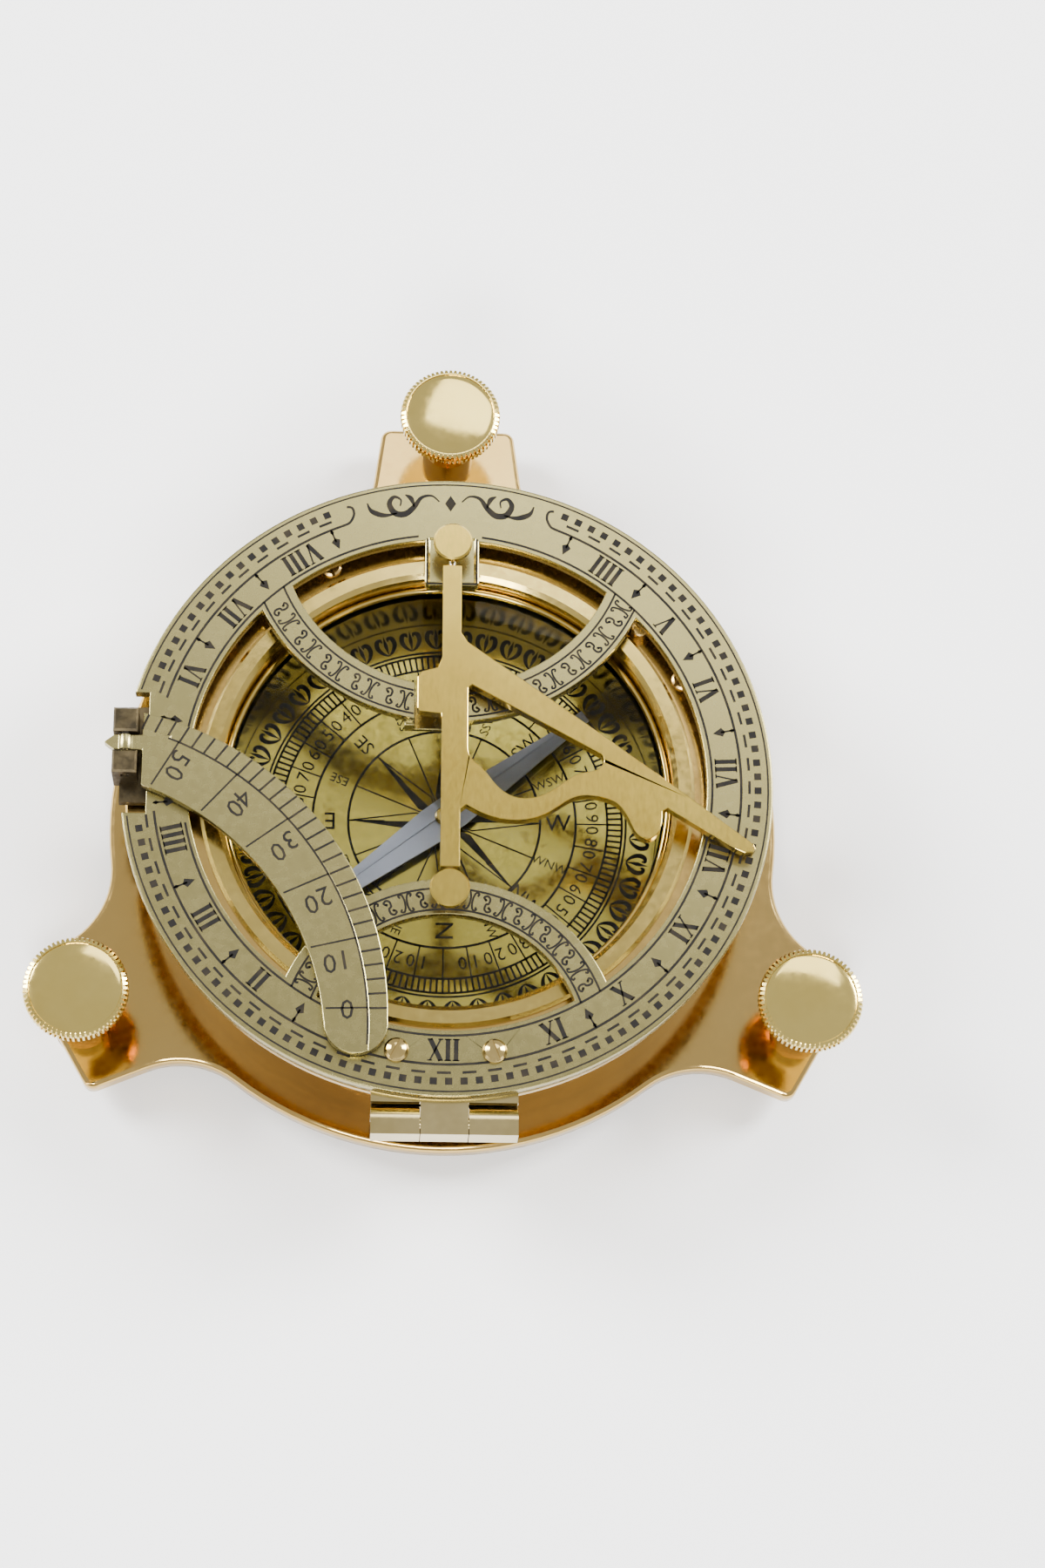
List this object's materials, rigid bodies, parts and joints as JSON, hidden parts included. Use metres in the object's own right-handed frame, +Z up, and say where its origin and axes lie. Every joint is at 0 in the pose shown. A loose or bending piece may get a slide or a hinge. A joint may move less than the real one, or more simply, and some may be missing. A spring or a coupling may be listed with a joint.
{
  "type": "pocket sundial with compass",
  "caption": "Round brass compass bowl on a tripod base with knurled levelling screws, under a hinged hour ring with folding gnomon and latitude arc.",
  "frame": {"origin": "on the table under the middle of the overall outline; the bowl axis is 8.2 mm from it towards the hinge", "axes": "+Z up, +Y from the hinge towards the lug opposite it, +X towards the side the folded gnomon points to"},
  "size_m": [0.1236, 0.122, 0.0325],
  "materials": {
    "polished_brass": "mirror polished, warm",
    "plain_brass": "turned, unpolished",
    "satin_brass": "fine satin, engraved lines filled black",
    "dial_brass": "polished sheet, engraved lines filled black",
    "gnomon_brass": "fine brushed faces, bright edges",
    "hinge_brass": "flat polished",
    "dark_brass": "tarnished from soldering",
    "knob_brass": "polished",
    "screw_brass": "polished",
    "spring_brass": "drawn wire",
    "screw_steel": "bright steel",
    "needle_steel": "one end bare, one end blued dark",
    "clear_glass": "clear flat glass"
  },
  "bodies": {
    "base": {"base_plate": "polished_brass", "lug_collars": "polished_brass", "drum": "polished_brass", "pillars": "plain_brass", "base_screws": "screw_steel", "cover_plate": "polished_brass", "cover_screws": "screw_brass", "rest_pins": "screw_steel", "compass_box": "polished_brass", "dial_card": "dial_brass", "needle_pivot": "screw_steel", "glass": "clear_glass", "glass_ring": "spring_brass", "hinge_leaf_bowl": "hinge_brass", "hinge_pin": "screw_steel"},
    "hour_ring_body": {"hour_ring": "satin_brass", "hinge_leaf_ring": "hinge_brass", "leaf_screws": "screw_brass", "gnomon_posts": "gnomon_brass", "gnomon_pins": "screw_steel", "arc_bracket": "dark_brass", "arc_pin": "screw_steel"},
    "gnomon_body": {"gnomon": "gnomon_brass"},
    "latitude_arc_body": {"latitude_arc": "satin_brass"},
    "needle_body": {"needle_blade": "needle_steel", "needle_cap": "screw_brass"},
    "foot_back_body": {"foot_back": "plain_brass"},
    "level_screw_back_body": {"level_screw_back": "knob_brass"},
    "foot_left_body": {"foot_left": "plain_brass"},
    "level_screw_left_body": {"level_screw_left": "knob_brass"},
    "foot_right_body": {"foot_right": "plain_brass"},
    "level_screw_right_body": {"level_screw_right": "knob_brass"}
  },
  "joints": [
    {"name": "ring_tilt", "type": "hinge", "parent": "base", "child": "hour_ring_body", "pos_m": [0, -0.05878, 0.0245], "axis": [1, 0, 0], "range_deg": [0, 60]},
    {"name": "gnomon_fold", "type": "hinge", "parent": "hour_ring_body", "child": "gnomon_body", "pos_m": [0.0003, 0.00093, 0.0302], "axis": [0, -1, 0], "range_deg": [0, 90]},
    {"name": "arc_fold", "type": "hinge", "parent": "hour_ring_body", "child": "latitude_arc_body", "pos_m": [-0.047, -0.00407, 0.0296], "axis": [0, -1, 0], "range_deg": [0, 90]},
    {"name": "needle_spin", "type": "hinge", "parent": "base", "child": "needle_body", "pos_m": [0, -0.00817, 0.0108], "axis": [0, 0, 1], "continuous": true},
    {"name": "foot_slide_back", "type": "slide", "parent": "base", "child": "foot_back_body", "axis": [0, 0, 1], "range_m": [-0.003, 0.0014]},
    {"name": "screw_turn_back", "type": "hinge", "parent": "foot_back_body", "child": "level_screw_back_body", "pos_m": [0, 0.05332, 0.012], "axis": [0, 0, 1], "range_deg": [-1090, 510]},
    {"name": "foot_slide_left", "type": "slide", "parent": "base", "child": "foot_left_body", "axis": [0, 0, 1], "range_m": [-0.003, 0.0014]},
    {"name": "screw_turn_left", "type": "hinge", "parent": "foot_left_body", "child": "level_screw_left_body", "pos_m": [-0.05326, -0.03893, 0.012], "axis": [0, 0, 1], "range_deg": [-1090, 510]},
    {"name": "foot_slide_right", "type": "slide", "parent": "base", "child": "foot_right_body", "axis": [0, 0, 1], "range_m": [-0.003, 0.0014]},
    {"name": "screw_turn_right", "type": "hinge", "parent": "foot_right_body", "child": "level_screw_right_body", "pos_m": [0.05326, -0.03893, 0.012], "axis": [0, 0, 1], "range_deg": [-1090, 510]}
  ],
  "couplings": [
    {"joint": "screw_turn_back", "follows": "foot_slide_back", "rad_per_m": 6283.2},
    {"joint": "screw_turn_left", "follows": "foot_slide_left", "rad_per_m": 6283.2},
    {"joint": "screw_turn_right", "follows": "foot_slide_right", "rad_per_m": 6283.2}
  ]
}
